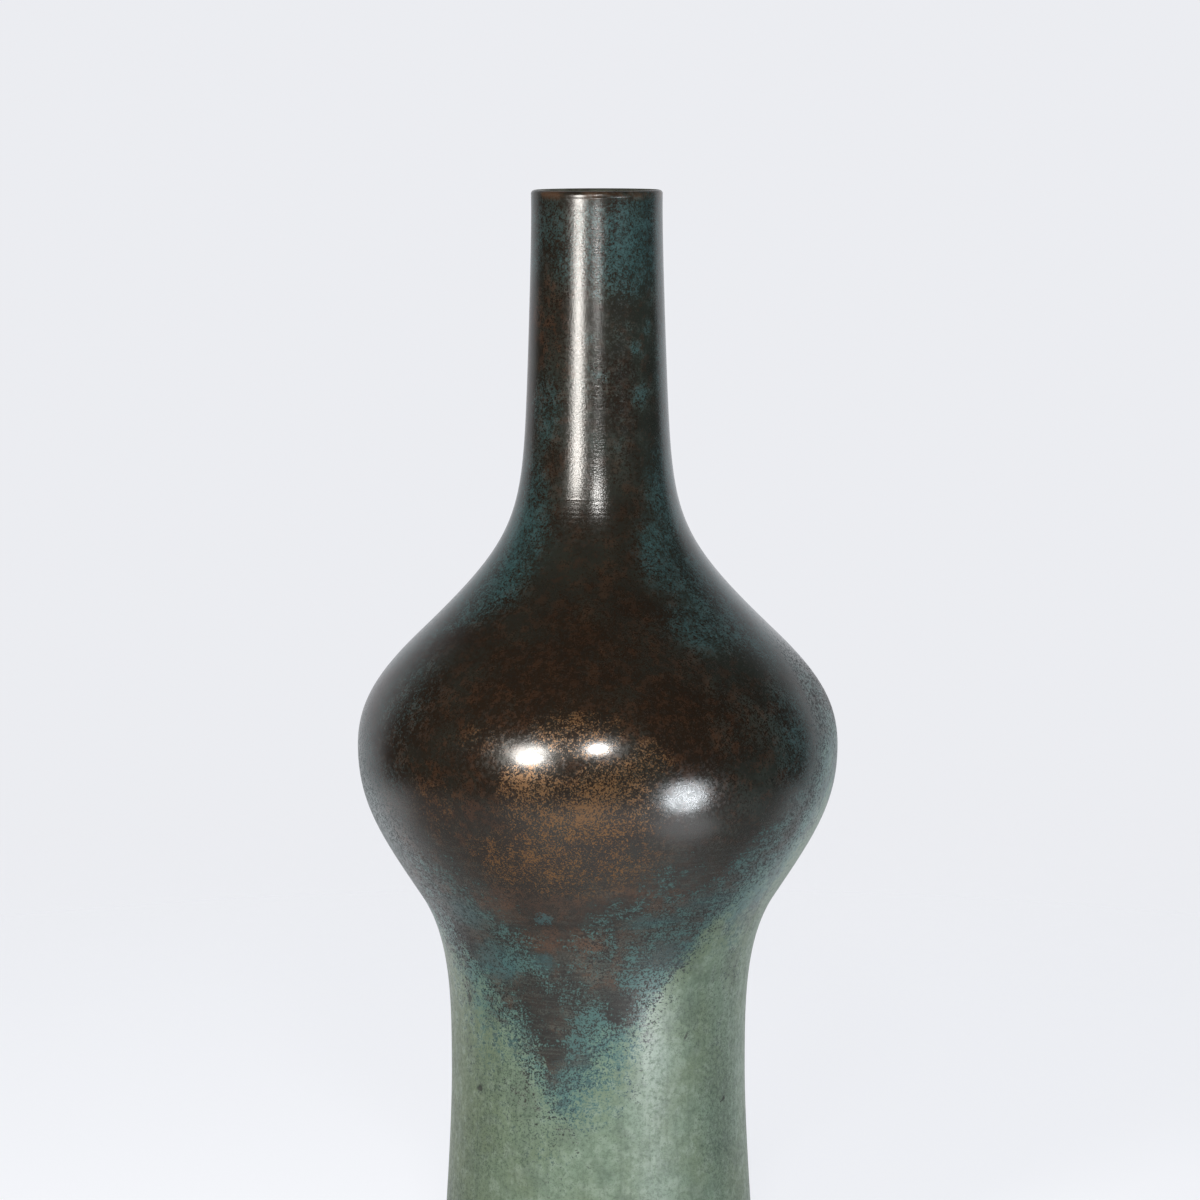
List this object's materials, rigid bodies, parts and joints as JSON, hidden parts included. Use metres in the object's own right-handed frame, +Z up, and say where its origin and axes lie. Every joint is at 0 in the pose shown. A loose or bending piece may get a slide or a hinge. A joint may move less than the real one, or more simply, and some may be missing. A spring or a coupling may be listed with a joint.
{
  "type": "copper flower vase",
  "caption": "Tall round copper flower vase with a slim neck, a full bulb, a narrow waist and a slightly flared foot, hollow for water and stems, brown and green patina.",
  "frame": {"origin": "centre of the foot ring's standing face, on the vase's axis", "axes": "+Z up along the vase's axis from the foot to the mouth, -Y towards the side that the picture shows"},
  "size_m": [0.115, 0.115, 0.273],
  "materials": {
    "dark_patina": "copper with a waxed dark brown patina, mottled with teal",
    "green_patina": "copper with a waxed pale green patina",
    "bare_copper": "toned copper sheet with turning marks",
    "braze": "braze filler, dulled",
    "soft_solder": "tin solder, dulled"
  },
  "bodies": {
    "root": {"mouth_ring": "dark_patina", "neck_tube": "dark_patina", "shoulder_shell": "dark_patina", "belly_shell": "dark_patina", "lower_body": "green_patina", "foot_ring": "green_patina", "base_plate": "bare_copper", "mouth_seam_braze": "braze", "neck_seam_braze": "braze", "bulb_seam_braze": "braze", "waist_seam_braze": "braze", "foot_seam_braze": "braze", "base_plate_solder": "soft_solder"}
  },
  "joints": []
}
